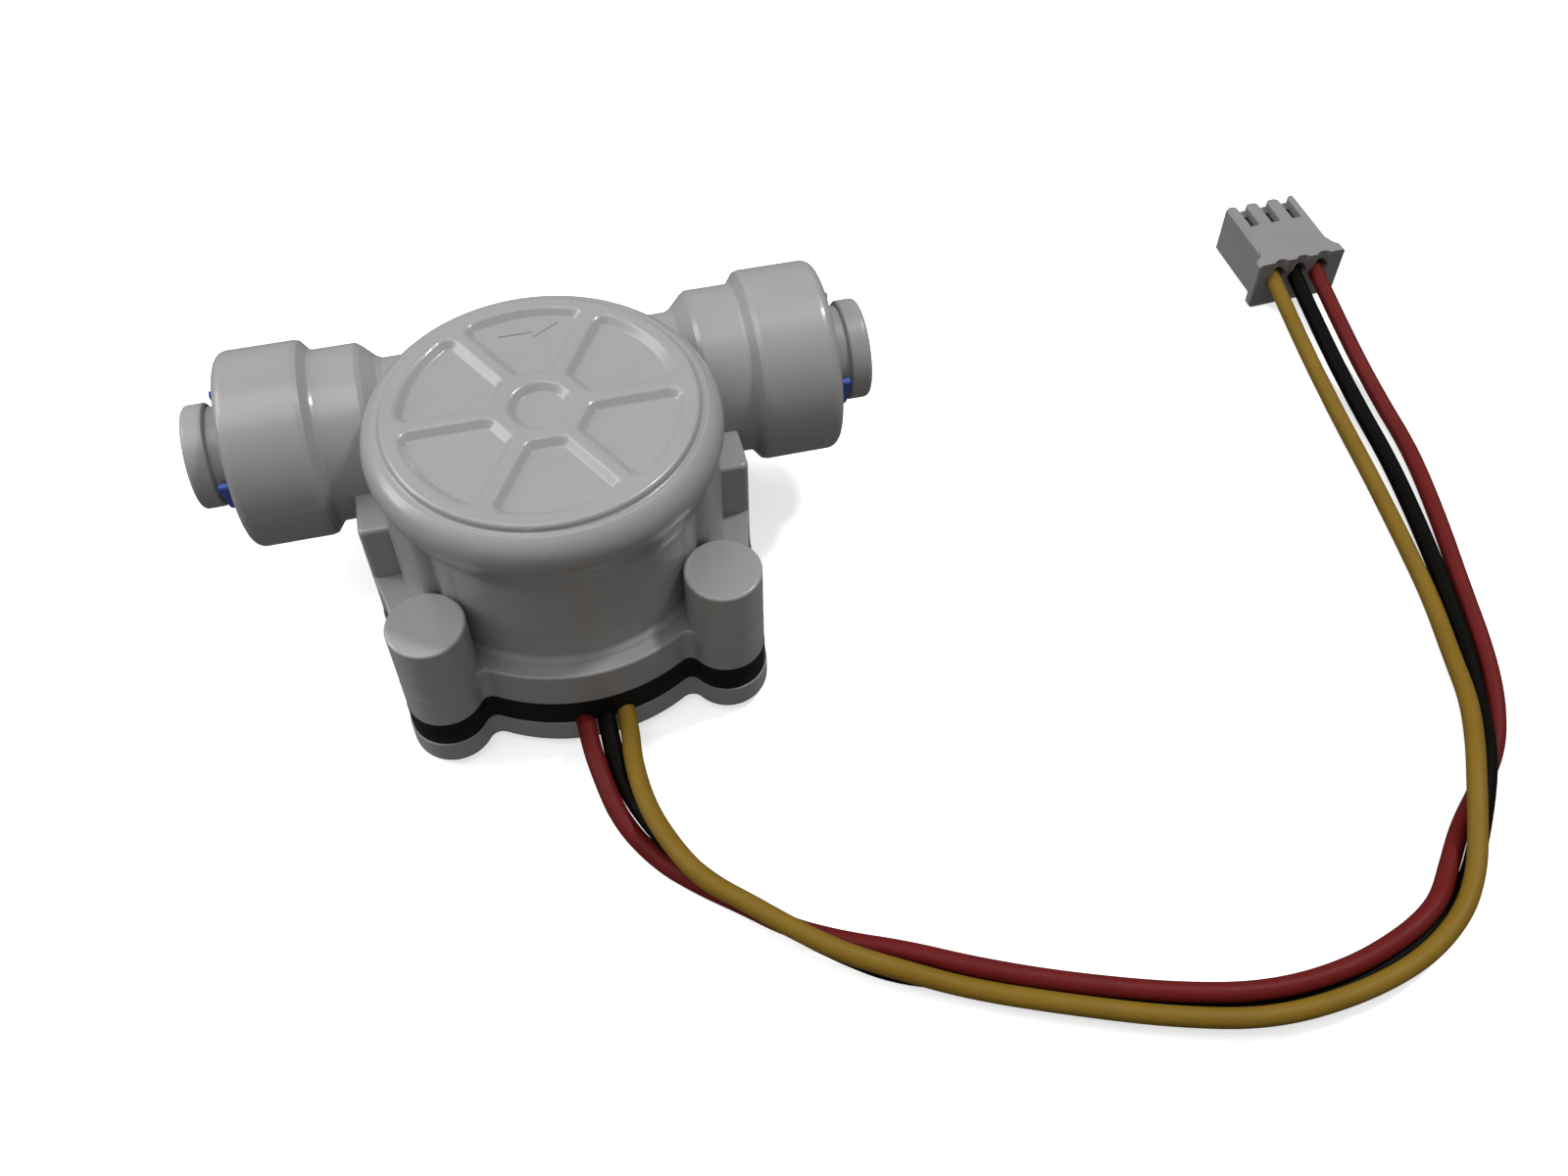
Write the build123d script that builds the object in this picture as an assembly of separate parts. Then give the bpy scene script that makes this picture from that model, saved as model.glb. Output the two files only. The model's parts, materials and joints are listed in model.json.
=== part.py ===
from build123d import *
import math
import os

os.makedirs("parts", exist_ok=True)

# Water flow sensor with two push-in tube fittings, a rotor chamber, a wire
# lead and a three-way plug. Millimetres. +Z up, the drum's axis is Z, the
# pipes run along X (inlet -X, outlet +X), the wires leave at the front (-Y).

# ---------------------------------------------------------------- dimensions
# layers, from the bottom
COVER_TOP = 3.23
GASKET_TOP = 5.97
FLANGE_TOP = 9.66
BOSS_TOP = 15.6
FLOOR_OF_CHAMBER = 10.0

# outline of flange, gasket and cover
FLANGE_R = 15.0
BOSS_X, BOSS_Y, BOSS_R = 12.0, 11.4, 3.25
SIDE_X, REAR_Y = 16.6, 14.8

# drum
WALL_R, CHEEK_R, BEAD_R = 13.15, 14.0, 14.5
BEAD_Z = 23.55
SHOULDER_R = 2.2
DISC_R, DISC_TOP = 12.75, 26.05
POCKET_R, POCKET_DEEP, POCKET_SLOPE = 11.5, 0.62, 50
SPOKE_W, HUB_CORNER_R, HUB_DIMPLE_R = 0.85, 4.15, 2.65

# chamber and rotor
CHAMBER_R, CHAMBER_ROOF = 11.4, 23.3
ROTOR_R, ROTOR_Z0, ROTOR_Z1 = 10.6, 11.0, 20.4
AXLE_R, BUSH_R, RUNNING = 1.0, 2.2, 0.05
COVER_DISC_R, COVER_DISC_Z = 12.2, 7.4

# fittings, on an axis along X
PIPE_Y, PIPE_Z = 11.0, 15.7
NECK_R, MID_R, BARREL_R = 5.88, 7.48, 8.52
NECK_END, CONE_END, MID_END, BARREL_START, FACE_X = 12.7, 14.3, 18.1, 19.2, 26.0
PASSAGE_R, TUBE_R = 2.3, 3.25
STOP_X, SEAL_X, GRIP_X = 12.6, 18.0, 21.0
SEAL_R, CAGE_R = 4.6, 5.8
SLEEVE_R, COLLET_FLANGE_R, COLLET_LIP_R = 4.1, 4.5, 4.65
COLLET_IN, COLLET_FLANGE_X, COLLET_END = 22.4, 27.65, 29.6
CLIP_X0, CLIP_X1, CLIP_R, CLIP_SLOT = 26.05, 27.3, 4.8, 4.13
CLIP_TURN = 17.0  # degrees that the clip's mouth leans from straight up to the front

# screws
SCREW_R, SCREW_HEAD_R, SCREW_TIP = 1.05, 1.95, 11.0

# lead
WIRE_D = 1.6
WIRE_Z = 3.35  # where the wires leave, in the joint between gasket and cover
WIRE_X = {"red": -1.05, "black": 0.7, "yellow": 2.45}

# plug: centre, heading and sizes
PLUG_AT = (82.0, 28.4)
PLUG_TURN = 3.0
PLUG_W, PLUG_H, PLUG_L, PITCH = 8.2, 5.75, 9.8, 2.5
PLUG_WIRE_Z = 3.85

# routes of the three wires, from the board to the plug
RED_ROUTE = [
    (-1.05, -7.6, 4.15), (-1.05, -9.9, 4), (-1.05, -12.3, 3.42), (-1.02, -16.9, 3.3), (-0.69, -19.99, 3.03),
    (0.23, -24.39, 1.76), (2.63, -28.2, 0.8), (5.55, -31.15, 0.8), (8.68, -33.72, 0.8), (11.52, -36.29, 0.8),
    (15.57, -38.49, 0.8), (19.71, -40.74, 1.86), (24.45, -43.62, 2.56), (30.67, -46.26, 2.41), (38.64, -49.05, 2.4),
    (45.4, -50.52, 2.29), (52.03, -50.29, 2.25), (57.79, -48.72, 2.16), (61.6, -46.8, 2.2), (64.57, -43.62, 1.21),
    (67.56, -40.26, 0.8), (71.05, -37.31, 0.8), (74.34, -34.16, 0.8), (76.79, -29.78, 0.8), (78.56, -24.62, 0.8),
    (80.16, -17.39, 0.8), (82.02, -9.68, 0.8), (83.67, -0.9, 0.8), (83.74, 6.37, 1.13), (83.69, 14.68, 2.41),
    (84.57, 27.13, 3.85),
]
BLACK_ROUTE = [
    (0.7, -7.6, 4.15), (0.7, -9.9, 4), (0.7, -12.3, 3.42), (0.73, -16.9, 3.3), (0.81, -19.82, 2.27),
    (1.83, -23.55, 1.77), (3.9, -28.18, 2.28), (5.84, -31.55, 2.52), (8.68, -34.29, 2.39), (11.42, -36.94, 2.41),
    (14.8, -39.87, 2.06), (18.83, -42.2, 0.97), (24.31, -43.89, 0.8), (30.75, -46.61, 0.8), (38.66, -49.54, 0.8),
    (45.54, -51.27, 0.8), (52.55, -51.06, 0.8), (58.66, -49.41, 0.8), (63.14, -47.1, 0.8), (66, -44.67, 1.15),
    (68.19, -41.65, 1.91), (70.57, -38.03, 2.55), (72.79, -34.38, 2.26), (75.02, -29.61, 1.03), (76.83, -24.77, 0.8),
    (78.39, -17.79, 0.8), (79.75, -10.32, 0.8), (80.97, -1.76, 0.8), (81.16, 5.43, 1.13), (81.12, 14.13, 2.44),
    (82.07, 27, 3.85),
]
YELLOW_ROUTE = [
    (2.45, -7.6, 4.15), (2.45, -9.9, 4), (2.45, -12.3, 3.42), (2.48, -16.9, 3.3), (2.16, -19.97, 3.39),
    (2.51, -24.55, 3.57), (3.83, -28.89, 3.98), (5.67, -32.39, 4.04), (8.58, -35, 3.93), (11.23, -37.67, 3.95),
    (14.61, -40.45, 3.58), (18.71, -42.52, 2.73), (23.68, -45.01, 2.04), (30.01, -47.76, 2.16), (37.72, -50.65, 2.1),
    (44.79, -52.47, 2.04), (51.81, -52.28, 2.05), (58.12, -50.9, 2.08), (62.94, -48.21, 2.26), (65.61, -45.15, 2.78),
    (67.32, -41.78, 3.37), (69.08, -38.19, 3.7), (71.11, -34.53, 3.36), (73.43, -29.99, 2.31), (75.06, -24.89, 1.15),
    (76.65, -18.22, 0.8), (77.5, -10.94, 0.8), (78.3, -2.61, 0.8), (78.6, 4.51, 1.12), (78.58, 13.56, 2.47),
    (79.58, 26.87, 3.85),
]


def put(name, shape):
    shape = Compound(children=list(shape.solids())) if len(shape.solids()) > 1 else shape.solids()[0]
    export_step(shape, f"parts/{name}.step")
    return shape


def rod(r, z0, z1, x=0.0, y=0.0):
    return Pos(x, y, z0) * Cylinder(r, z1 - z0, align=(Align.CENTER, Align.CENTER, Align.MIN))


def block(x0, x1, y0, y1, z0, z1):
    return Pos(x0, y0, z0) * Box(x1 - x0, y1 - y0, z1 - z0, align=(Align.MIN, Align.MIN, Align.MIN))


def turned(points):
    """Solid of revolution about Z from (radius, z) corners."""
    return revolve(Plane.XZ * make_face(Polyline(*points, close=True)), Axis.Z)


def along_x(points, side):
    """Solid of revolution about the pipe axis from (distance from centre, radius) corners."""
    flat = make_face(Polyline(*[(s, r) for s, r in points], close=True))
    solid = revolve(flat, Axis.X)
    if side < 0:
        solid = Rot(0, 0, 180) * solid
    return Pos(0, PIPE_Y, PIPE_Z) * solid


# ------------------------------------------------------------------- outline
def outline(grow=0.0):
    side = SIDE_X + grow
    half = [
        (0, REAR_Y + grow),
        (side - 2.2, REAR_Y + grow),
        (side - 0.6, REAR_Y - 0.7 + grow),
        (side, REAR_Y - 2.6),
        (side, 0.4),
        (side - 0.25, -1.2),
        (side - 0.65, -2.7),
        (side - 1.05, -4.5),
        (BOSS_X + BOSS_R + grow, -BOSS_Y),
        (0, -BOSS_Y),
    ]
    flat = make_face(Polyline(*half, close=True))
    flat += mirror(flat, Plane.YZ)
    flat += Circle(FLANGE_R + grow)
    for sx in (-1, 1):
        flat += Pos(sx * BOSS_X, -BOSS_Y) * Circle(BOSS_R + grow)
    return flat


def softened(flat, r):
    """Rounds the two inner corners between front arc and bosses."""
    corners = [v for v in flat.vertices() if v.Y < -BOSS_Y - 0.2 and abs(v.X) < BOSS_X]
    return fillet(corners, r) if corners else flat


# ------------------------------------------------------------- upper housing
def upper_housing():
    base = extrude(softened(outline(), 0.9), FLANGE_TOP - GASKET_TOP)
    base = Pos(0, 0, GASKET_TOP) * base
    top_edges = [e for e in base.edges() if abs(e.center().Z - FLANGE_TOP) < 1e-6]
    base = fillet(top_edges, 0.22)

    # drum: wall, bead and shoulder
    arc_r = BEAD_R - SHOULDER_R
    step_r = 13.35
    step_z = BEAD_Z + math.sqrt(SHOULDER_R**2 - (step_r - arc_r) ** 2)
    with BuildPart() as drum:
        with BuildSketch(Plane.XZ):
            with BuildLine():
                l1 = Polyline((0, GASKET_TOP), (WALL_R + 0.55, GASKET_TOP), (WALL_R + 0.55, FLANGE_TOP - 0.2))
                l2 = Spline(l1 @ 1, (WALL_R, FLANGE_TOP + 0.75), tangents=[(0, 1), (0, 1)])
                l3 = Line(l2 @ 1, (WALL_R, 18.6))
                l4 = Spline(l3 @ 1, (BEAD_R, BEAD_Z), tangents=[(0, 1), (0, 1)])
                l5 = CenterArc((arc_r, BEAD_Z), SHOULDER_R, 0, math.degrees(math.asin((step_z - BEAD_Z) / SHOULDER_R)))
                l6 = Polyline(l5 @ 1, (0, step_z), (0, GASKET_TOP))
            make_face()
        revolve(axis=Axis.Z)
    body = drum.part

    # raised disc with six pockets, hub dimple and flow arrow
    disc = rod(DISC_R, 24.6, DISC_TOP)
    tip = POCKET_R + 1.5
    half_angle = math.radians(30)
    for k in range(6):
        wedge = make_face(
            Polyline(
                (0, 0),
                (tip * math.cos(half_angle) * 1.2, tip * math.sin(half_angle) * 1.2),
                (tip * math.cos(half_angle) * 1.2, -tip * math.sin(half_angle) * 1.2),
                close=True,
            )
        )
        wedge &= Circle(POCKET_R)
        wedge -= Pos(0, 0) * Rectangle(2 * HUB_CORNER_R * math.cos(half_angle), 30)
        for s in (-1, 1):
            wedge -= Rot(0, 0, 30 * s) * (Pos(8, 0) * Rectangle(30, SPOKE_W))
        wedge = wedge.faces()[0]
        wedge = fillet(wedge.vertices(), 1.15)
        tool = extrude(wedge, -POCKET_DEEP, taper=POCKET_SLOPE)
        low = [e for e in tool.edges() if abs(e.center().Z + POCKET_DEEP) < 1e-6]
        try:
            tool = fillet(low, 0.5)
        except Exception as problem:
            print("pocket floor edge stays sharp:", problem)
        disc -= Pos(0, 0, DISC_TOP) * (Rot(0, 0, 30 + 60 * k) * tool)
    dimple = extrude(Circle(HUB_DIMPLE_R), -POCKET_DEEP, taper=POCKET_SLOPE)
    dimple = fillet([e for e in dimple.edges() if abs(e.center().Z + POCKET_DEEP) < 1e-6], 0.5)
    disc -= Pos(0, 0, DISC_TOP) * dimple
    rims = [e for e in disc.edges() if abs(e.center().Z - DISC_TOP) < 1e-6 and e.bounding_box().max.Z - e.bounding_box().min.Z < 1e-6]
    outer = [e for e in rims if e.bounding_box().size.X > 2 * DISC_R - 0.1]
    inner = [e for e in rims if e not in outer]
    try:
        disc = fillet(inner, 0.6)
    except Exception as problem:
        print("pocket rims stay sharp:", problem)
    outer = [e for e in disc.edges() if abs(e.center().Z - DISC_TOP) < 1e-6 and e.bounding_box().size.X > 2 * DISC_R - 0.1]
    disc = fillet(outer, 0.4)
    arrow_z = DISC_TOP - POCKET_DEEP - 0.05
    arrow = make_face(
        Polyline((-2.4, 8.85), (0.45, 8.85), (0.45, 8.15), (3.0, 9.7), (0.45, 11.05), (0.45, 10.55), (-2.4, 10.55), close=True)
    )
    arrow = extrude(arrow, 0.2, taper=40)
    disc += Pos(0, 0, arrow_z) * arrow
    body += disc
    foot = [e for e in body.edges() if abs(e.center().Z - step_z) < 1e-4 and abs(e.bounding_box().size.X - 2 * DISC_R) < 0.05]
    try:
        rounded = fillet(foot, 0.2)
        if len(rounded.solids()) == 1 and rounded.volume > body.volume:
            body = rounded
    except Exception as problem:
        print("disc foot stays sharp:", problem)

    # the wall is fuller at the sides and the rear, and swells softly behind the two front bosses
    cheek = Circle(CHEEK_R) & (Pos(0, 12) * Rectangle(40, 40))
    cheek = fillet([v for v in cheek.vertices() if v.Y < 0], 1.3)
    ring = Circle(WALL_R - 0.02)
    for sx in (-1, 1):
        ring += Pos(sx * 7.2, -6.3) * Circle(3.72)
    joints = [v for v in ring.vertices() if v.Y < -9.0]
    for size in (3.0, 1.5):
        try:
            ring = fillet(joints, size)
            break
        except Exception as problem:
            print("swelling, blend", size, "failed:", problem)
    flat = ring + cheek
    creases = [v for v in flat.vertices() if -8.6 < v.Y < -7.4 and abs(v.X) < 11.0]
    for size in (0.4, 0.2):
        try:
            flat = fillet(creases, size)
            break
        except Exception as problem:
            print("crease, blend", size, "failed:", problem)
    body += Pos(0, 0, GASKET_TOP) * extrude(flat, 22.6 - GASKET_TOP)

    body += base

    # bosses
    for sx in (-1, 1):
        boss = rod(BOSS_R - 0.02, FLANGE_TOP - 0.8, BOSS_TOP, sx * BOSS_X, -BOSS_Y)
        boss = fillet([e for e in boss.edges() if abs(e.center().Z - BOSS_TOP) < 1e-6], 0.25)
        body += boss

    # side blocks under the pipes
    for sx in (-1, 1):
        flat = make_face(Polyline((10.5, -0.8), (SIDE_X - 0.05, -0.8), (SIDE_X - 0.05, REAR_Y - 2.6), (SIDE_X - 0.65, REAR_Y - 0.7), (SIDE_X - 2.25, REAR_Y - 0.05), (10.5, REAR_Y - 0.05), close=True))
        flat = fillet([v for v in flat.vertices() if v.X > 15 and v.Y < 0], 0.6)
        side = extrude(flat, BOSS_TOP - GASKET_TOP)
        side = fillet([e for e in side.edges() if abs(e.center().Z - (BOSS_TOP - GASKET_TOP)) < 1e-6 and e.center().X > 10.6], 0.4)
        side = Pos(0, 0, GASKET_TOP) * side
        if sx < 0:
            side = mirror(side, Plane.YZ)
        body += side

    # pipes
    rim = 1.0
    for side in (-1, 1):
        arc = [
            (FACE_X - rim + rim * math.sin(math.radians(a)), BARREL_R - rim + rim * math.cos(math.radians(a)))
            for a in range(0, 91, 15)
        ]
        profile = [(0, 0), (0, NECK_R), (NECK_END - 0.3, NECK_R), (NECK_END + 0.2, NECK_R + 0.25), (CONE_END - 0.25, MID_R - 0.25), (CONE_END + 0.15, MID_R), (MID_END, MID_R), (MID_END + 0.25, MID_R + 0.1), (BARREL_START - 0.2, BARREL_R - 0.12), (BARREL_START + 0.25, BARREL_R)]
        body += along_x(profile + arc + [(FACE_X, 0)], side)

    # ---- inside
    body -= rod(CHAMBER_R, FLOOR_OF_CHAMBER - 0.5, CHAMBER_ROOF)
    body -= rod(COVER_DISC_R, GASKET_TOP - 1, FLOOR_OF_CHAMBER)
    body -= rod(BUSH_R, CHAMBER_ROOF - 0.5, 24.7)
    for side in (-1, 1):
        body -= along_x([(-1, 0), (-1, PASSAGE_R), (STOP_X, PASSAGE_R), (STOP_X, TUBE_R), (SEAL_X, TUBE_R), (SEAL_X, SEAL_R), (GRIP_X, SEAL_R), (GRIP_X, CAGE_R), (FACE_X + 1, CAGE_R), (FACE_X + 1, 0)], side)
    for sx in (-1, 1):
        for sy in (-1, 1):
            body -= rod(SCREW_R, GASKET_TOP - 1, SCREW_TIP + 0.3, sx * BOSS_X, sy * BOSS_Y)
    print("housing:", len(body.solids()), "solid, volume", round(body.volume), "top", round(body.bounding_box().max.Z, 2))
    return body


# --------------------------------------------------------------- lower parts
def gasket():
    flat = softened(outline(0.05), 0.9)
    body = Pos(0, 0, COVER_TOP) * extrude(flat, GASKET_TOP - COVER_TOP)
    body -= rod(12.5, COVER_TOP - 1, GASKET_TOP + 1)
    for sx in (-1, 1):
        for sy in (-1, 1):
            body -= rod(SCREW_R + 0.15, COVER_TOP - 1, GASKET_TOP + 1, sx * BOSS_X, sy * BOSS_Y)
    for x in WIRE_X.values():
        body -= Pos(x, -14, WIRE_Z) * (Rot(90, 0, 0) * Cylinder(WIRE_D / 2, 8))
    return body


def bottom_cover():
    flat = softened(outline(0.2), 0.9)
    body = extrude(flat, COVER_TOP)
    low = [e for e in body.edges() if abs(e.center().Z) < 1e-6]
    body = fillet(low, 1.3)
    body += rod(12.0, COVER_TOP - 0.5, COVER_DISC_Z)
    body -= rod(11.2, 1.2, COVER_DISC_Z + 1)
    body -= block(WIRE_X["red"] - 1.4, WIRE_X["yellow"] + 1.4, -13, -8, COVER_TOP, COVER_DISC_Z + 1)
    for x in WIRE_X.values():
        body -= Pos(x, -13.5, WIRE_Z) * (Rot(90, 0, 0) * Cylinder(WIRE_D / 2, 7))
    for px in (-5, 5):
        for py in (-7.4, 2.8):
            body += rod(0.8, 1.0, 2.2, px, py)
    for sx in (-1, 1):
        for sy in (-1, 1):
            body -= rod(SCREW_R + 0.15, -1, COVER_TOP + 1, sx * BOSS_X, sy * BOSS_Y)
            body -= rod(SCREW_HEAD_R + 0.2, -1, 1.9, sx * BOSS_X, sy * BOSS_Y)
    return body


def cover_screws():
    out = []
    for sx in (-1, 1):
        for sy in (-1, 1):
            one = rod(SCREW_R, 1.5, SCREW_TIP - 1.0, sx * BOSS_X, sy * BOSS_Y)
            one += Pos(sx * BOSS_X, sy * BOSS_Y, SCREW_TIP - 1.0) * Cone(SCREW_R, 0.25, 1.0, align=(Align.CENTER, Align.CENTER, Align.MIN))
            one += rod(SCREW_HEAD_R, 0.55, 1.9, sx * BOSS_X, sy * BOSS_Y)
            cross = Box(2.4, 0.55, 1.6) + Box(0.55, 2.4, 1.6)
            one -= Pos(sx * BOSS_X, sy * BOSS_Y, 0.55) * cross
            out.append(one)
    return out


def chamber_cover():
    body = rod(COVER_DISC_R, COVER_DISC_Z, FLOOR_OF_CHAMBER)
    body -= rod(COVER_DISC_R + 1, 8.35, 9.55) - rod(11.1, 8.0, 10.0)
    body -= rod(BUSH_R, 8.2, FLOOR_OF_CHAMBER + 1)
    return body


def chamber_o_ring():
    return Pos(0, 0, 8.95) * Torus(11.65, 0.55)


def bush(z0, z1):
    return rod(BUSH_R, z0, z1) - rod(AXLE_R + RUNNING, z0 - 1, z1 + 1)


def rotor():
    hub = rod(3.6, ROTOR_Z0 - 0.6, ROTOR_Z1 + 1.2)
    hub += rod(2.0, ROTOR_Z0 - 0.65, 22.85)
    body = hub
    plate = rod(ROTOR_R - 2.6, ROTOR_Z0, ROTOR_Z0 + 0.8)
    body += plate
    for k in range(8):
        blade = block(2.5, ROTOR_R, -0.45, 0.45, ROTOR_Z0, ROTOR_Z1)
        body += Rot(0, 0, 45 * k) * blade
    # ring seat for the magnet, open below
    body -= rod(3.2, ROTOR_Z0 - 2, ROTOR_Z0 + 1.6) - rod(1.7, ROTOR_Z0 - 3, ROTOR_Z0 + 3)
    body -= rod(AXLE_R, 5, 26)
    return body


def rotor_magnet():
    return rod(3.2, ROTOR_Z0 - 0.6, ROTOR_Z0 + 1.6) - rod(1.7, ROTOR_Z0 - 3, ROTOR_Z0 + 3)


def circuit_board():
    body = block(-6, 6, -8.6, 4, 2.2, 3.2)
    body = fillet(body.edges().filter_by(Axis.Z), 1.0)
    return body


def hall_sensor():
    body = block(-2.05, 2.05, -0.8, 0.8, 4.1, 7.1)
    body = chamfer([e for e in body.edges().filter_by(Axis.Z) if e.center().Y > 0], 0.5)
    for x in (-1.27, 0, 1.27):
        body += block(x - 0.2, x + 0.2, -0.2, 0.2, 3.2, 4.2)
    return body


def solder_joints():
    out = []
    for x in WIRE_X.values():
        one = block(x - 0.7, x + 0.7, -7.6, -6.4, 3.2, 4.9)
        out.append(fillet(one.edges().filter_by(Axis.Z), 0.3))
    return out


# ------------------------------------------------------------------ fittings
def collet(side):
    r = 0.45
    lip = [(COLLET_END - r + r * math.sin(math.radians(a)), COLLET_FLANGE_R - r + r * math.cos(math.radians(a))) for a in range(0, 91, 15)]
    body = along_x(
        [(COLLET_IN, TUBE_R), (COLLET_IN, 4.3), (COLLET_IN + 0.9, COLLET_LIP_R), (24.45, COLLET_LIP_R), (24.45, SLEEVE_R), (COLLET_FLANGE_X, SLEEVE_R), (COLLET_FLANGE_X, COLLET_FLANGE_R - 0.15), (COLLET_FLANGE_X + 0.15, COLLET_FLANGE_R)]
        + lip
        + [(COLLET_END, TUBE_R + 0.35), (COLLET_END - 0.35, TUBE_R)],
        side,
    )
    for turn in (45, 135):
        slot = Rot(turn, 0, 0) * Box(3.6, 0.6, 12)
        body -= Pos(side * (COLLET_IN + 1.2), PIPE_Y, PIPE_Z) * slot
    return body


def gripper(side):
    body = along_x([(GRIP_X, 3.3), (GRIP_X, CAGE_R - 0.1), (GRIP_X + 0.3, CAGE_R - 0.1), (GRIP_X + 0.3, 3.3)], side)
    for k in range(8):
        cut = Pos(0, 3.9, 0) * Box(2, 1.8, 0.5)
        body -= Pos(side * GRIP_X, PIPE_Y, PIPE_Z) * (Rot(45 * k, 0, 0) * cut)
    return body


def spacer(side):
    return along_x([(19.85, 3.35), (19.85, SEAL_R - 0.05), (GRIP_X, SEAL_R - 0.05), (GRIP_X, 3.35)], side)


def tube_o_ring(side):
    return Pos(side * 19.1, PIPE_Y, PIPE_Z) * (Rot(0, 90, 0) * Torus(3.9, 0.7))


def retainer(side):
    return along_x([(GRIP_X + 0.3, 4.9), (GRIP_X + 0.3, CAGE_R), (FACE_X, CAGE_R), (FACE_X, 4.35), (FACE_X - 0.2, 4.2), (24.6, 4.2), (24.6, 4.9)], side)


def clip(side):
    flat = Circle(CLIP_R)
    flat -= Circle(CLIP_SLOT)
    flat -= Pos(0, 6) * Rectangle(2 * CLIP_SLOT, 12)
    # straight arm ends beyond the ring
    for s in (-1, 1):
        flat += Pos(s * (CLIP_SLOT + 0.335), 1.3) * Rectangle(0.67, 2.6)
    flat = flat.faces()[0]
    tips = [v for v in flat.vertices() if v.Y > 2.4]
    flat = fillet(tips, 0.28)
    body = extrude(flat, CLIP_X1 - CLIP_X0)
    faces = [e for e in body.edges() if abs(e.center().Z) < 1e-6 or abs(e.center().Z - (CLIP_X1 - CLIP_X0)) < 1e-6]
    body = chamfer(faces, 0.06)
    # stand the flat clip across the pipe: its mouth points up, then leans to the front
    body = Plane.YZ.location * body
    body = Rot(CLIP_TURN, 0, 0) * body
    if side < 0:
        body = mirror(body, Plane.YZ)
    return Pos(side * CLIP_X0, PIPE_Y, PIPE_Z) * body


# ---------------------------------------------------------------------- plug
def plug_frame():
    return Pos(PLUG_AT[0], PLUG_AT[1], 0) * Rot(0, 0, PLUG_TURN)


def plug_housing():
    w, h, l = PLUG_W, PLUG_H, PLUG_L
    # local: +Y is the mating end, X across, origin at the middle of the body
    body = Pos(0, 0, h / 2) * Box(w, l, h)
    # flared rim at the wire end
    flare = make_face(
        Polyline((-w / 2, -l / 2 + 1.9), (-w / 2 - 0.25, -l / 2 + 1.35), (-w / 2 - 0.95, -l / 2 + 0.85), (-w / 2 - 0.95, -l / 2 + 0.1), (-w / 2 - 0.8, -l / 2),
                 (w / 2 + 0.8, -l / 2), (w / 2 + 0.95, -l / 2 + 0.1), (w / 2 + 0.95, -l / 2 + 0.85), (w / 2 + 0.25, -l / 2 + 1.35), (w / 2, -l / 2 + 1.9), close=True)
    )
    body += extrude(flare, h)
    body = chamfer([e for e in body.edges().filter_by(Axis.Y) if abs(e.center().X) > w / 2 - 0.1], 0.3)
    for k in (-1, 0, 1):
        # top channels, open at the mating end, with slots down to the terminals
        body -= Pos(k * PITCH, l / 2 - 0.6, h - 0.4) * Box(1.1, 1.21, 0.9)
        body -= Pos(k * PITCH, l / 2 - 2.35, h - 0.6) * Box(1.1, 2.5, 1.3)
        # terminal channels, round where the wires enter
        body -= Pos(k * PITCH, 1.4, PLUG_WIRE_Z) * Box(1.7, l - 2.7, 2.0)
        body -= Pos(k * PITCH, 0, PLUG_WIRE_Z) * (Rot(90, 0, 0) * Cylinder(0.85, l + 1))
        # notch in the rim above each wire
        body -= Pos(k * PITCH, -l / 2 - 0.6, 0) * rod(1.0, PLUG_WIRE_Z, h + 1)
    tips = [e for e in body.edges().filter_by(Axis.Z) if e.center().Y > l / 2 - 0.05 and e.center().Z > h - 1.1 and abs(e.center().X) < w / 2 - 0.1]
    for size in (0.5, 0.3):
        try:
            body = fillet(tips, size)
            break
        except Exception as problem:
            print("plug prongs, rounding", size, "failed:", problem)
    return plug_frame() * body


def plug_terminals():
    out = []
    for k in (-1, 0, 1):
        one = Pos(k * PITCH, 1.6, PLUG_WIRE_Z) * Box(1.5, 6.0, 1.7)
        one -= Pos(k * PITCH, 2.6, PLUG_WIRE_Z) * Box(0.9, 5.0, 0.9)
        one -= Pos(k * PITCH, -0.4, PLUG_WIRE_Z + 0.7) * Box(2.0, 0.6, 1.2)
        out.append(plug_frame() * one)
    return out


# --------------------------------------------------------------------- wires
def wire(name, route):
    """Round wire along straight runs joined by tangent arcs."""
    points = [Vector(*p) for p in route]
    runs = [(b - a).length for a, b in zip(points, points[1:])]
    radii = []
    for a, b, c, before, after in zip(points, points[1:], points[2:], runs, runs[1:]):
        turn = math.acos(max(-1.0, min(1.0, (b - a).dot(c - b) / before / after)))
        radii.append(0.45 * min(before, after) / math.tan(turn / 2))
    line = FilletPolyline(*points, radius=radii)
    section = Plane(origin=points[0], z_dir=points[1] - points[0]) * Circle(WIRE_D / 2)
    body = sweep(section, path=line)
    length = sum(e.length for e in line.edges())
    print(name, "length", round(length, 1), "smallest radius", round(min(radii), 1), "radii", [round(r) for r in radii],
          "volume / (section x length)", round(body.volume / (math.pi * (WIRE_D / 2) ** 2 * length), 4))
    return body


# ---------------------------------------------------------------- the pieces
housing = put("upper_housing", upper_housing())
put("flange_gasket", gasket())
put("bottom_cover", bottom_cover())
put("cover_screws", Compound(children=[s.solids()[0] for s in cover_screws()]))
put("chamber_cover", chamber_cover())
put("chamber_o_ring", chamber_o_ring())
put("upper_bush", bush(23.0, 24.7))
put("lower_bush", bush(8.2, 10.2))
put("rotor", rotor())
put("rotor_magnet", rotor_magnet())
put("rotor_axle", rod(AXLE_R, 8.35, 24.6))
put("circuit_board", circuit_board())
put("hall_sensor", hall_sensor())
put("pull_up_resistor", block(3.0, 5.0, -3.6, -2.4, 3.2, 3.75))
put("filter_capacitor", block(-4.8, -3.2, -3.5, -2.7, 3.2, 4.0))
put("solder_joints", Compound(children=[s.solids()[0] for s in solder_joints()]))
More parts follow.
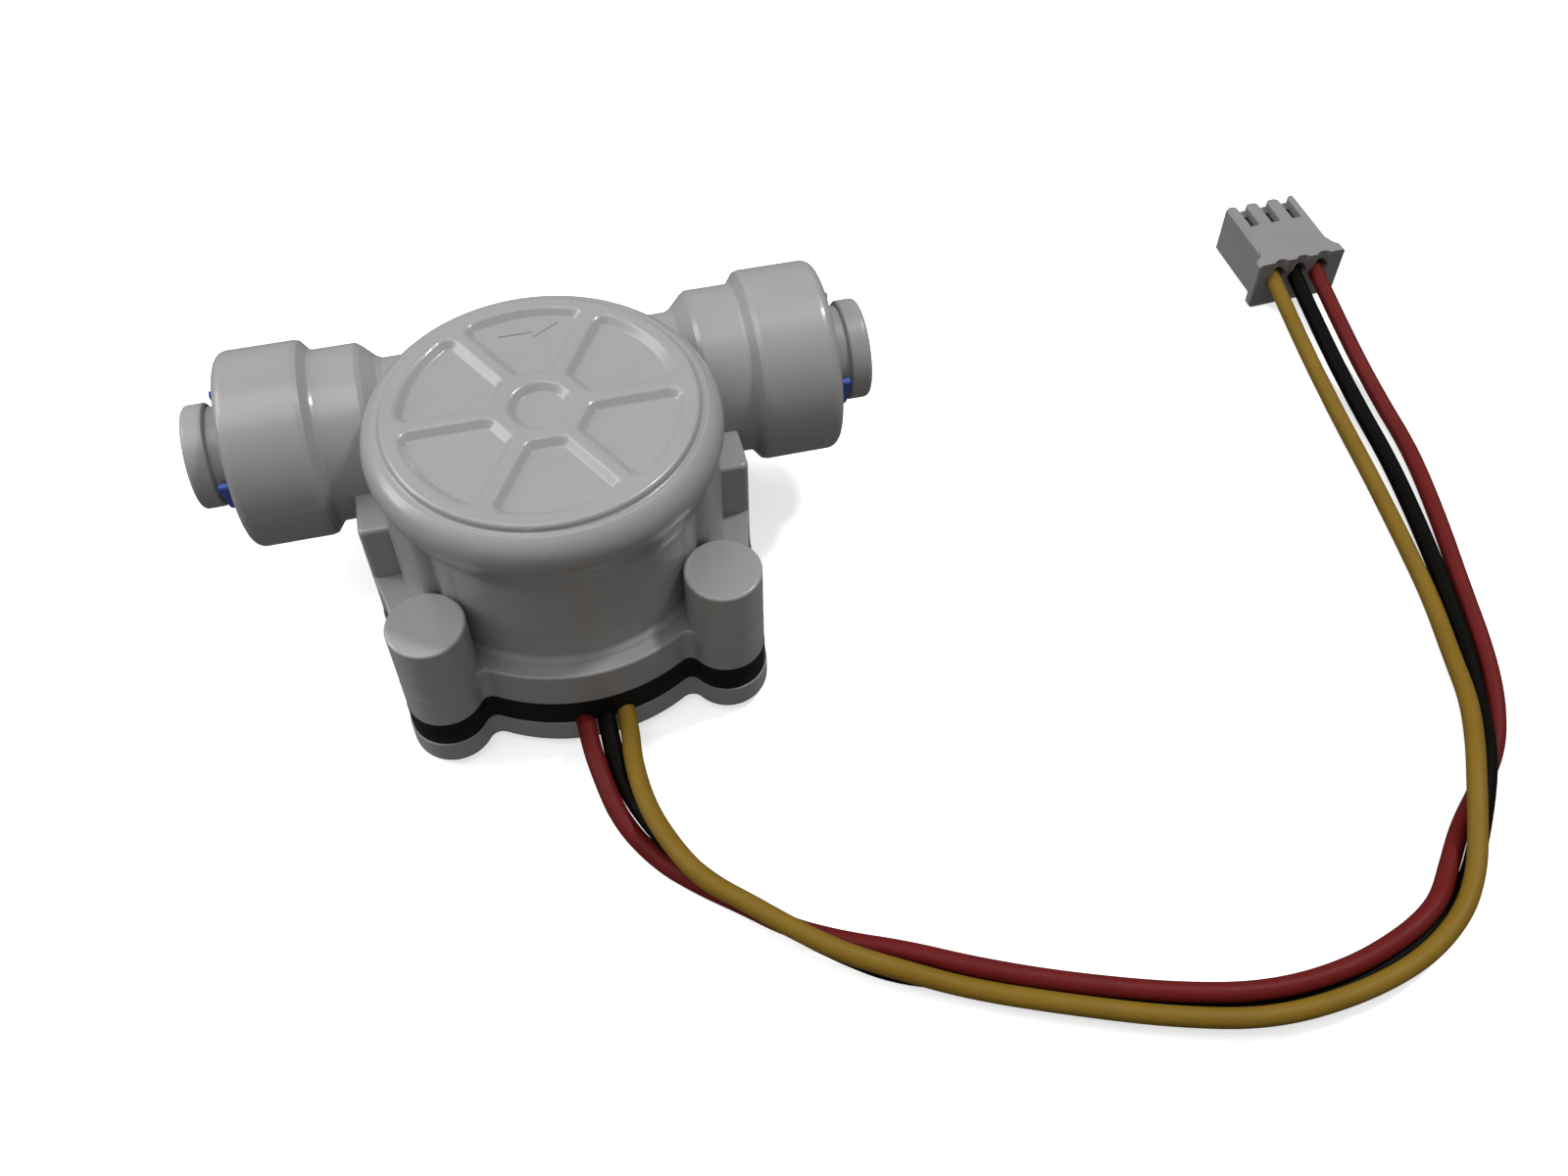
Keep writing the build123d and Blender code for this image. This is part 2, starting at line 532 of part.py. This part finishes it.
for name, side in (("inlet", -1), ("outlet", 1)):
    put(f"{name}_collet", collet(side))
    put(f"{name}_gripper", gripper(side))
    put(f"{name}_spacer", spacer(side))
    put(f"{name}_tube_o_ring", tube_o_ring(side))
    put(f"{name}_retainer", retainer(side))
    put(f"{name}_clip", clip(side))
put("plug_housing", plug_housing())
put("plug_terminals", Compound(children=[s.solids()[0] for s in plug_terminals()]))
put("red_wire", wire("red_wire", RED_ROUTE))
put("black_wire", wire("black_wire", BLACK_ROUTE))
put("yellow_wire", wire("yellow_wire", YELLOW_ROUTE))
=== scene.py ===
import json
import math

import bpy
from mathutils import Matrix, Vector


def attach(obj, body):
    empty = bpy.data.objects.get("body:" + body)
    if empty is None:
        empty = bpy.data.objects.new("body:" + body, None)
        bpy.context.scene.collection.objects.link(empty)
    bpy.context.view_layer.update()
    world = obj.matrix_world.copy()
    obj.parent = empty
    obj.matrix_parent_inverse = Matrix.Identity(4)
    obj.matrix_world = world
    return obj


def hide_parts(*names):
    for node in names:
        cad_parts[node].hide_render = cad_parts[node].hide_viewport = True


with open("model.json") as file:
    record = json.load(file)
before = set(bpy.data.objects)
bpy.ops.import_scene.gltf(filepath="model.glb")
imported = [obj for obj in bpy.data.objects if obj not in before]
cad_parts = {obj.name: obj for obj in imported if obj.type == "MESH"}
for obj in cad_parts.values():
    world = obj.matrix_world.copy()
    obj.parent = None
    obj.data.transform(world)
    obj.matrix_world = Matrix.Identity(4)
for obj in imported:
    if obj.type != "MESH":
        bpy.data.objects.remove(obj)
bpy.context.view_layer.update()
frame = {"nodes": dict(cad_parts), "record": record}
nodes = frame["nodes"]
MM = 0.001

# ------------------------------------------------------------------- camera
cam_data = bpy.data.cameras.new("camera")
cam = bpy.data.objects.new("camera", cam_data)
bpy.context.scene.collection.objects.link(cam)
bpy.context.scene.camera = cam
cam.location = (-0.00107, -0.08739, 0.11195)
cam.rotation_euler = (math.radians(37.90), 0, math.radians(-13.44))
cam_data.sensor_width = 36
cam_data.lens = 34.97
cam_data.clip_start = 0.005
cam_data.clip_end = 20

# -------------------------------------------------------------------- wires
# the same points as the tubes have in the construction, in millimetres
RED_ROUTE = [
    (-1.05, -7.6, 4.15), (-1.05, -9.9, 4), (-1.05, -12.3, 3.42), (-1.02, -16.9, 3.3), (-0.69, -19.99, 3.03),
    (0.23, -24.39, 1.76), (2.63, -28.2, 0.8), (5.55, -31.15, 0.8), (8.68, -33.72, 0.8), (11.52, -36.29, 0.8),
    (15.57, -38.49, 0.8), (19.71, -40.74, 1.86), (24.45, -43.62, 2.56), (30.67, -46.26, 2.41), (38.64, -49.05, 2.4),
    (45.4, -50.52, 2.29), (52.03, -50.29, 2.25), (57.79, -48.72, 2.16), (61.6, -46.8, 2.2), (64.57, -43.62, 1.21),
    (67.56, -40.26, 0.8), (71.05, -37.31, 0.8), (74.34, -34.16, 0.8), (76.79, -29.78, 0.8), (78.56, -24.62, 0.8),
    (80.16, -17.39, 0.8), (82.02, -9.68, 0.8), (83.67, -0.9, 0.8), (83.74, 6.37, 1.13), (83.69, 14.68, 2.41),
    (84.57, 27.13, 3.85),
]
BLACK_ROUTE = [
    (0.7, -7.6, 4.15), (0.7, -9.9, 4), (0.7, -12.3, 3.42), (0.73, -16.9, 3.3), (0.81, -19.82, 2.27),
    (1.83, -23.55, 1.77), (3.9, -28.18, 2.28), (5.84, -31.55, 2.52), (8.68, -34.29, 2.39), (11.42, -36.94, 2.41),
    (14.8, -39.87, 2.06), (18.83, -42.2, 0.97), (24.31, -43.89, 0.8), (30.75, -46.61, 0.8), (38.66, -49.54, 0.8),
    (45.54, -51.27, 0.8), (52.55, -51.06, 0.8), (58.66, -49.41, 0.8), (63.14, -47.1, 0.8), (66, -44.67, 1.15),
    (68.19, -41.65, 1.91), (70.57, -38.03, 2.55), (72.79, -34.38, 2.26), (75.02, -29.61, 1.03), (76.83, -24.77, 0.8),
    (78.39, -17.79, 0.8), (79.75, -10.32, 0.8), (80.97, -1.76, 0.8), (81.16, 5.43, 1.13), (81.12, 14.13, 2.44),
    (82.07, 27, 3.85),
]
YELLOW_ROUTE = [
    (2.45, -7.6, 4.15), (2.45, -9.9, 4), (2.45, -12.3, 3.42), (2.48, -16.9, 3.3), (2.16, -19.97, 3.39),
    (2.51, -24.55, 3.57), (3.83, -28.89, 3.98), (5.67, -32.39, 4.04), (8.58, -35, 3.93), (11.23, -37.67, 3.95),
    (14.61, -40.45, 3.58), (18.71, -42.52, 2.73), (23.68, -45.01, 2.04), (30.01, -47.76, 2.16), (37.72, -50.65, 2.1),
    (44.79, -52.47, 2.04), (51.81, -52.28, 2.05), (58.12, -50.9, 2.08), (62.94, -48.21, 2.26), (65.61, -45.15, 2.78),
    (67.32, -41.78, 3.37), (69.08, -38.19, 3.7), (71.11, -34.53, 3.36), (73.43, -29.99, 2.31), (75.06, -24.89, 1.15),
    (76.65, -18.22, 0.8), (77.5, -10.94, 0.8), (78.3, -2.61, 0.8), (78.6, 4.51, 1.12), (78.58, 13.56, 2.47),
    (79.58, 26.87, 3.85),
]
WIRE_D = 1.6


def wire(name, route):
    curve = bpy.data.curves.new(name, "CURVE")
    curve.dimensions = "3D"
    line = curve.splines.new("NURBS")
    line.points.add(len(route) - 1)
    for point, (x, y, z) in zip(line.points, route):
        point.co = (x * MM, y * MM, z * MM, 1)
        point.radius = MM   # the curve's own box grows by this, so it is small and the bevel is in millimetres
    line.order_u = 3
    line.use_endpoint_u = True
    line.resolution_u = 14
    curve.bevel_depth = WIRE_D / 2
    curve.bevel_resolution = 7
    curve.use_fill_caps = True
    obj = bpy.data.objects.new(name, curve)
    bpy.context.scene.collection.objects.link(obj)
    return obj


wires = {}
for colour, route in (("red", RED_ROUTE), ("black", BLACK_ROUTE), ("yellow", YELLOW_ROUTE)):
    obj = wire(f"{colour}_insulation", route)
    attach(obj, "body")
    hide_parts(f"{colour}_wire")
    wires[colour] = obj


# ---------------------------------------------------------------- materials
def new_material(name):
    mat = bpy.data.materials.new(name)
    mat.use_nodes = True
    tree = mat.node_tree
    tree.nodes.clear()
    out = tree.nodes.new("ShaderNodeOutputMaterial")
    shader = tree.nodes.new("ShaderNodeBsdfPrincipled")
    tree.links.new(shader.outputs["BSDF"], out.inputs["Surface"])
    return mat, tree, shader


def noise(tree, coords, scale, detail=3.0, rough=0.5):
    node = tree.nodes.new("ShaderNodeTexNoise")
    node.inputs["Scale"].default_value = scale
    node.inputs["Detail"].default_value = detail
    node.inputs["Roughness"].default_value = rough
    tree.links.new(coords, node.inputs["Vector"])
    return node.outputs["Fac"]


def ranged(tree, fac, low, high, a=0.3, b=0.7):
    node = tree.nodes.new("ShaderNodeMapRange")
    node.inputs["From Min"].default_value = a
    node.inputs["From Max"].default_value = b
    node.inputs["To Min"].default_value = low
    node.inputs["To Max"].default_value = high
    tree.links.new(fac, node.inputs["Value"])
    return node.outputs["Result"]


def mixed(tree, fac, first, second):
    node = tree.nodes.new("ShaderNodeMix")
    node.data_type = "RGBA"
    node.inputs["A"].default_value = (*first, 1)
    node.inputs["B"].default_value = (*second, 1)
    tree.links.new(fac, node.inputs["Factor"])
    return node.outputs["Result"]


def bump(tree, shader, height, distance, strength=1.0):
    node = tree.nodes.new("ShaderNodeBump")
    node.inputs["Distance"].default_value = distance
    node.inputs["Strength"].default_value = strength
    tree.links.new(height, node.inputs["Height"])
    tree.links.new(node.outputs["Normal"], shader.inputs["Normal"])


def moulded(name, light, dark, rough=(0.26, 0.36), ripple=0.00002, ripple_scale=900, specular=0.5, mottling=120, skin=0.0):
    """Injection-moulded plastic: faint mottling, uneven gloss and a very fine skin."""
    mat, tree, shader = new_material(name)
    coords = tree.nodes.new("ShaderNodeTexCoord").outputs["Object"]
    tree.links.new(mixed(tree, ranged(tree, noise(tree, coords, mottling, 4), 0, 1), dark, light), shader.inputs["Base Color"])
    tree.links.new(ranged(tree, noise(tree, coords, mottling * 1.7, 5), rough[0], rough[1]), shader.inputs["Roughness"])
    shader.inputs["Specular IOR Level"].default_value = specular
    shader.inputs["Coat Weight"].default_value = skin
    shader.inputs["Coat Roughness"].default_value = 0.14
    bump(tree, shader, noise(tree, coords, ripple_scale, 3), ripple)
    return mat


def rubber(name, light, dark):
    mat, tree, shader = new_material(name)
    coords = tree.nodes.new("ShaderNodeTexCoord").outputs["Object"]
    tree.links.new(mixed(tree, ranged(tree, noise(tree, coords, 400, 5), 0, 1), dark, light), shader.inputs["Base Color"])
    tree.links.new(ranged(tree, noise(tree, coords, 700, 4), 0.5, 0.72), shader.inputs["Roughness"])
    shader.inputs["Specular IOR Level"].default_value = 0.18
    bump(tree, shader, noise(tree, coords, 3500, 4), 0.00002)
    return mat


def insulation(name, light, dark, rough=(0.46, 0.58), specular=0.14):
    """Soft insulation with a slight sheen and faint drawing marks."""
    mat, tree, shader = new_material(name)
    coords = tree.nodes.new("ShaderNodeTexCoord").outputs["Object"]
    tree.links.new(mixed(tree, ranged(tree, noise(tree, coords, 260, 5), 0, 1), dark, light), shader.inputs["Base Color"])
    tree.links.new(ranged(tree, noise(tree, coords, 500, 4), rough[0], rough[1]), shader.inputs["Roughness"])
    shader.inputs["Specular IOR Level"].default_value = specular
    bump(tree, shader, noise(tree, coords, 1500, 4), 0.000025)
    return mat


def metal(name, light, dark, rough=(0.28, 0.42), metallic=1.0):
    mat, tree, shader = new_material(name)
    coords = tree.nodes.new("ShaderNodeTexCoord").outputs["Object"]
    tree.links.new(mixed(tree, ranged(tree, noise(tree, coords, 500, 6), 0, 1), dark, light), shader.inputs["Base Color"])
    tree.links.new(ranged(tree, noise(tree, coords, 900, 5), rough[0], rough[1]), shader.inputs["Roughness"])
    shader.inputs["Metallic"].default_value = metallic
    bump(tree, shader, noise(tree, coords, 4000, 3), 0.000008)
    return mat


white = moulded("white_plastic", (0.315, 0.310, 0.303), (0.300, 0.294, 0.286), rough=(0.32, 0.4), skin=0.3)
collet_white = moulded("collet_plastic", (0.325, 0.319, 0.311), (0.305, 0.298, 0.29), rough=(0.3, 0.4))
plug_white = moulded("plug_plastic", (0.225, 0.22, 0.218), (0.21, 0.204, 0.202), rough=(0.42, 0.52), ripple=0.00003)
seal = rubber("seal_rubber", (0.005, 0.005, 0.005), (0.003, 0.003, 0.003))
blue = moulded("blue_plastic", (0.04, 0.10, 0.46), (0.03, 0.08, 0.38), rough=(0.34, 0.45))
dark = moulded("black_plastic", (0.022, 0.022, 0.023), (0.015, 0.015, 0.016), rough=(0.5, 0.62))
bearing = moulded("bearing_plastic", (0.62, 0.59, 0.52), (0.57, 0.54, 0.47), rough=(0.42, 0.5))
rotor_black = moulded("rotor_plastic", (0.032, 0.032, 0.034), (0.024, 0.024, 0.026), rough=(0.4, 0.5))
magnet = metal("magnet", (0.09, 0.09, 0.092), (0.06, 0.06, 0.062), rough=(0.5, 0.65), metallic=0.6)
steel = metal("screw_steel", (0.56, 0.56, 0.56), (0.46, 0.46, 0.46))
solder = metal("solder", (0.6, 0.6, 0.61), (0.5, 0.5, 0.51), rough=(0.22, 0.34))
tin = metal("terminal_metal", (0.62, 0.6, 0.56), (0.54, 0.52, 0.48), rough=(0.24, 0.36))
green = moulded("board", (0.022, 0.14, 0.05), (0.016, 0.11, 0.04), rough=(0.3, 0.42), mottling=600)
tan = moulded("capacitor", (0.4, 0.27, 0.16), (0.33, 0.22, 0.13), rough=(0.45, 0.6))
red_ins = insulation("red_insulation", (0.125, 0.0085, 0.008), (0.105, 0.007, 0.0065))
black_ins = insulation("black_insulation", (0.003, 0.0026, 0.0021), (0.002, 0.0018, 0.0015), specular=0.05)
yellow_ins = insulation("yellow_insulation", (0.20, 0.119, 0.012), (0.175, 0.103, 0.010))

by_slot = {
    "white_plastic": white, "collet_plastic": collet_white, "plug_plastic": plug_white, "seal_rubber": seal,
    "blue_plastic": blue, "black_plastic": dark, "bearing_plastic": bearing, "rotor_plastic": rotor_black,
    "magnet": magnet, "screw_steel": steel, "solder": solder, "terminal_metal": tin, "board": green,
    "capacitor": tan, "red_insulation": red_ins, "black_insulation": black_ins, "yellow_insulation": yellow_ins,
}
slot_of = {row["node"]: row["material_slot"] for row in frame["record"]["subparts"]}
for name, node in nodes.items():
    node.data.materials.clear()
    node.data.materials.append(by_slot[slot_of[name]])
for colour, mat in (("red", red_ins), ("black", black_ins), ("yellow", yellow_ins)):
    wires[colour].data.materials.append(mat)

# ------------------------------------------------------- floor and lighting
bpy.ops.mesh.primitive_plane_add(size=12, location=(0.03, 0, -0.00005))
floor = bpy.context.object
floor.name = "floor"
mat, tree, shader = new_material("floor_paper")
coords = tree.nodes.new("ShaderNodeTexCoord").outputs["Object"]
tree.links.new(mixed(tree, ranged(tree, noise(tree, coords, 30, 4), 0, 1), (0.9, 0.9, 0.9), (0.92, 0.92, 0.92)), shader.inputs["Base Color"])
shader.inputs["Roughness"].default_value = 0.9
shader.inputs["Specular IOR Level"].default_value = 0.1
shader.inputs["Emission Color"].default_value = (1, 1, 1, 1)
shader.inputs["Emission Strength"].default_value = 0.6
floor.data.materials.append(mat)
floor.visible_diffuse = False
floor.visible_glossy = False

# pale paper all round, far behind the floor; it lights nothing
bpy.ops.mesh.primitive_cylinder_add(vertices=96, radius=5.8, depth=9, end_fill_type="NOTHING", location=(0.03, 0, 4.4))
backdrop = bpy.context.object
backdrop.name = "backdrop"
mat, tree, shader = new_material("backdrop_paper")
coords = tree.nodes.new("ShaderNodeTexCoord").outputs["Object"]
tree.links.new(mixed(tree, ranged(tree, noise(tree, coords, 3, 4), 0, 1), (0.9, 0.9, 0.9), (0.92, 0.92, 0.92)), shader.inputs["Base Color"])
shader.inputs["Roughness"].default_value = 0.9
shader.inputs["Specular IOR Level"].default_value = 0.1
shader.inputs["Emission Color"].default_value = (1, 1, 1, 1)
shader.inputs["Emission Strength"].default_value = 0.5
backdrop.data.materials.append(mat)
backdrop.visible_diffuse = False
backdrop.visible_glossy = False
backdrop.visible_shadow = False

world = bpy.data.worlds.new("studio")
bpy.context.scene.world = world
world.use_nodes = True
tree = world.node_tree
tree.nodes.clear()
out = tree.nodes.new("ShaderNodeOutputWorld")
sky = tree.nodes.new("ShaderNodeBackground")
coords = tree.nodes.new("ShaderNodeTexCoord")
axis = tree.nodes.new("ShaderNodeSeparateXYZ")
tree.links.new(coords.outputs["Generated"], axis.inputs["Vector"])
ramp = tree.nodes.new("ShaderNodeValToRGB")
height = tree.nodes.new("ShaderNodeMapRange")
height.inputs["From Min"].default_value = -1
height.inputs["From Max"].default_value = 1
tree.links.new(axis.outputs["Z"], height.inputs["Value"])
tree.links.new(height.outputs["Result"], ramp.inputs["Fac"])
ramp.color_ramp.elements[0].position = 0.0
ramp.color_ramp.elements[0].color = (0.095, 0.094, 0.092, 1)
ramp.color_ramp.elements[1].position = 1.0
ramp.color_ramp.elements[1].color = (0.42, 0.42, 0.42, 1)
mid = ramp.color_ramp.elements.new(0.5)
mid.color = (0.235, 0.233, 0.229, 1)
tree.links.new(ramp.outputs["Color"], sky.inputs["Color"])
sky.inputs["Strength"].default_value = 1.0
tree.links.new(sky.outputs["Background"], out.inputs["Surface"])


def area(name, location, target, size, power, size_y=None):
    data = bpy.data.lights.new(name, "AREA")
    data.shape = "RECTANGLE" if size_y else "DISK"
    data.size = size
    if size_y:
        data.size_y = size_y
    data.energy = power
    obj = bpy.data.objects.new(name, data)
    bpy.context.scene.collection.objects.link(obj)
    obj.location = location
    obj.rotation_mode = "QUATERNION"
    obj.rotation_quaternion = (Vector(target) - Vector(location)).to_track_quat("-Z", "Y")
    return obj


centre = Vector((0.01, 0, 0.01))
to_key = Vector((0.97 * math.cos(math.radians(61)), 0.23 * math.cos(math.radians(61)), math.sin(math.radians(61)))).normalized()
area("window", (-0.75, 0.35, 0.75), centre, 0.55, 4.2)
area("key", centre + to_key * 0.9, centre, 0.1, 3.8)
area("side_window", (-0.85, 0.22, 0.34), centre, 0.3, 1.7)
area("top_fill", (-0.2, 0.0, 0.85), centre, 0.6, 2.0)

bpy.context.scene.view_settings.view_transform = "Standard"
bpy.context.scene.view_settings.look = "None"
